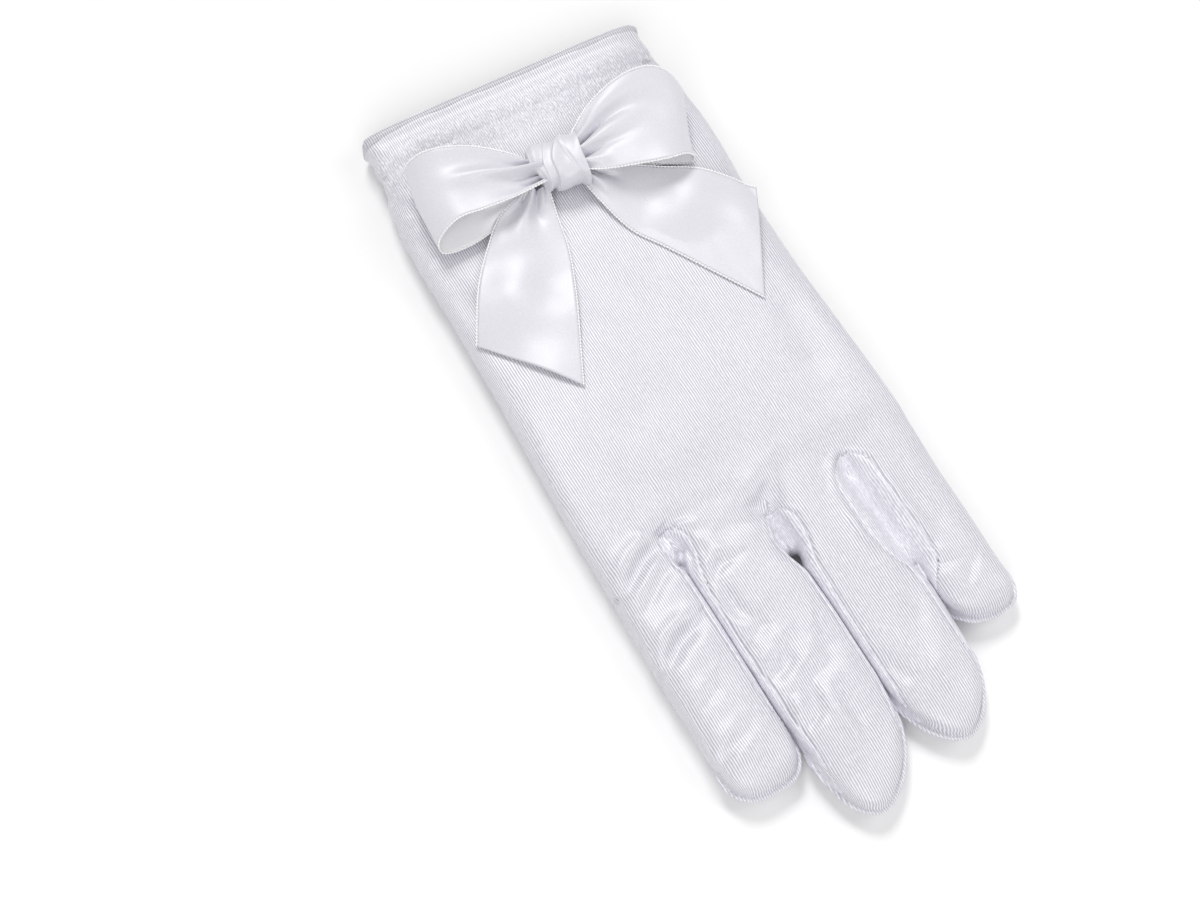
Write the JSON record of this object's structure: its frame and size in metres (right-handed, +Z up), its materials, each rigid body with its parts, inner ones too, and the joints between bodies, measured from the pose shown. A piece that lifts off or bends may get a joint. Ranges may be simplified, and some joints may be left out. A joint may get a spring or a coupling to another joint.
{
  "type": "satin glove",
  "caption": "White satin dress glove for a left hand, wrist length and lying palm down, with a ribbon bow on the back near its open cuff.",
  "frame": {"origin": "centre of the bounding box, at the surface that the glove lies on", "axes": "+Z up from the palm to the back of the hand, +Y from the fingertips to the cuff, +X from the index finger to the little finger"},
  "size_m": [0.0877, 0.215, 0.023],
  "materials": {
    "satin": "white stretch satin with a fine rib",
    "ribbon": "white single face satin ribbon"
  },
  "bodies": {
    "root": {"trank": "satin", "fourchette_index_middle": "satin", "fourchette_middle_ring": "satin", "fourchette_ring_little": "satin", "thumb": "satin", "cuff_hem": "satin", "bow_loop_index": "ribbon", "bow_loop_little": "ribbon", "bow_tail_index": "ribbon", "bow_tail_little": "ribbon", "bow_knot": "ribbon"}
  },
  "joints": []
}
